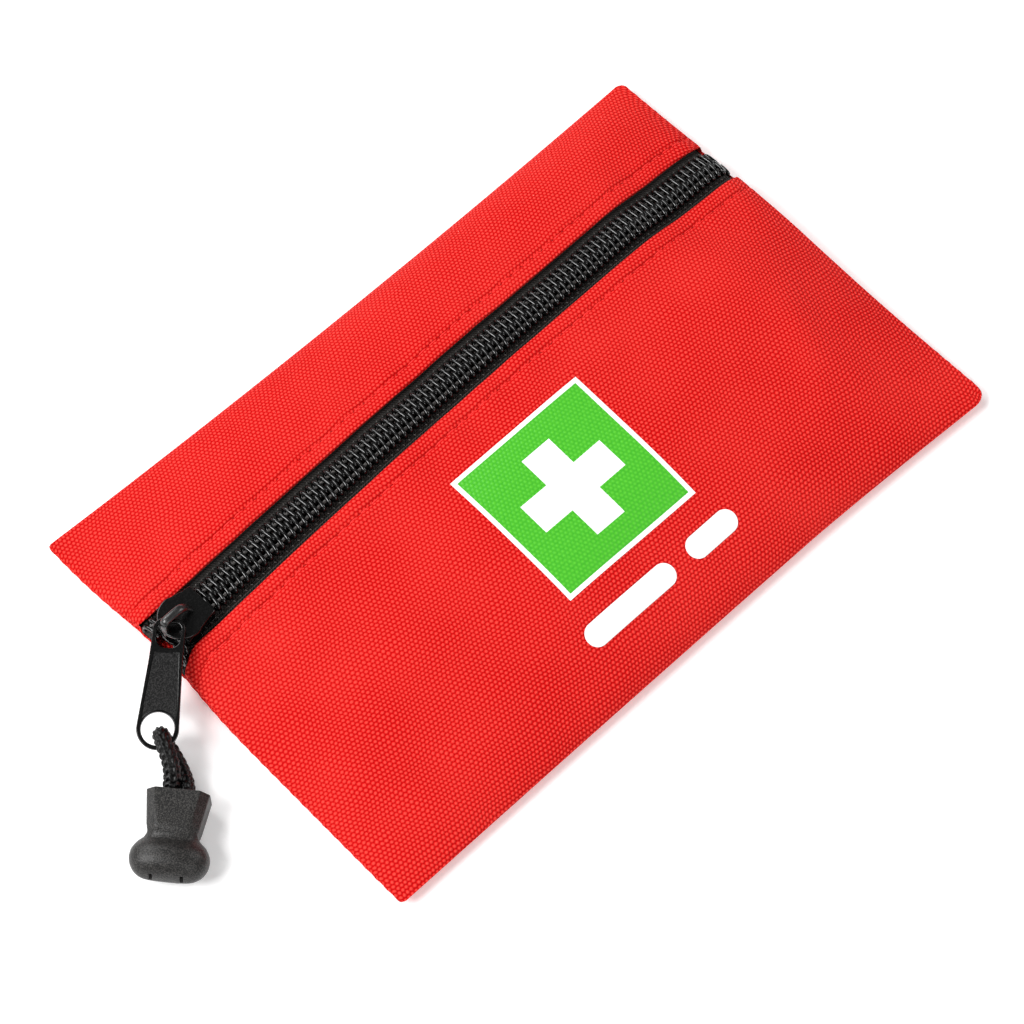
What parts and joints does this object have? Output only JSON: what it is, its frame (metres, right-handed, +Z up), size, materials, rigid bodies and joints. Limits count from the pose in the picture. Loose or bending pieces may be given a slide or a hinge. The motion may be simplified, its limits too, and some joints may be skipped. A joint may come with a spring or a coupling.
{
  "type": "first aid kit pouch",
  "caption": "Flat zipped cloth pouch with a green and white cross print, a corded zip pull, and dressings, plasters, wipes, gloves, tweezers and pins inside.",
  "frame": {"origin": "middle of the back panel's resting face", "axes": "+X along the zip towards its closed end, +Y from the bottom fold to the top fold, +Z up out of the front"},
  "size_m": [0.1807, 0.098, 0.0127],
  "materials": {
    "red_cloth": "plain-woven coated polyester",
    "black_tape": "woven zip tape",
    "black_nylon": "nylon monofilament",
    "red_thread": "sewing thread",
    "white_print": "heat-pressed film",
    "green_print": "heat-pressed film",
    "black_enamel": "gloss enamel on die-cast zinc",
    "black_cord": "knitted polyester cord",
    "black_plastic": "spark-textured moulding",
    "white_paper": "medical paper",
    "foil_paper": "laminated foil paper",
    "blue_nitrile": "nitrile film",
    "white_plastic": "moulded polypropylene",
    "pin_steel": "nickel-plated wire"
  },
  "bodies": {
    "pouch": {"back_panel": "red_cloth", "front_panel_lower": "red_cloth", "front_panel_upper": "red_cloth", "side_seam_left": "red_cloth", "side_seam_right": "red_cloth", "zip_tape_upper": "black_tape", "zip_tape_lower": "black_tape", "zip_coil_upper": "black_nylon", "zip_coil_lower": "black_nylon", "coil_core_upper": "black_tape", "coil_core_lower": "black_tape", "topstitch_upper": "red_thread", "topstitch_lower": "red_thread", "sign_border": "white_print", "sign_cross": "white_print", "sign_field": "green_print", "print_bars": "white_print", "leaflet": "white_paper", "wipe_sachets": "foil_paper", "wound_dressing": "white_paper", "plaster_strips": "white_paper", "gauze_packs": "white_paper", "folded_gloves": "blue_nitrile", "tweezers": "white_plastic", "safety_pins": "pin_steel"},
    "slider": {"slider_body": "black_enamel", "slider_bail": "black_enamel"},
    "pull": {"pull_tab": "black_enamel"},
    "cord": {"pull_cord": "black_cord", "cord_end_body": "black_plastic", "cord_end_plug": "black_plastic"}
  },
  "joints": [
    {"name": "slider_travel", "type": "slide", "parent": "pouch", "child": "slider", "axis": [0.9997, 0.0227, 0], "range_m": [0, 0.13]},
    {"name": "pull_flip", "type": "hinge", "parent": "slider", "child": "pull", "pos_m": [-0.07053, 0.01815, 0.01092], "axis": [-0.6561, 0.7547, 0], "range_deg": [0, 140.5]},
    {"name": "cord_swing", "type": "hinge", "parent": "pull", "child": "cord", "pos_m": [-0.08539, 0.00524, 0.00638], "axis": [0, 0, 1], "range_deg": [-35, 10]}
  ],
  "couplings": [
    {"joint": "pull_flip", "follows": "slider_travel", "rad_per_m": 18.796}
  ]
}
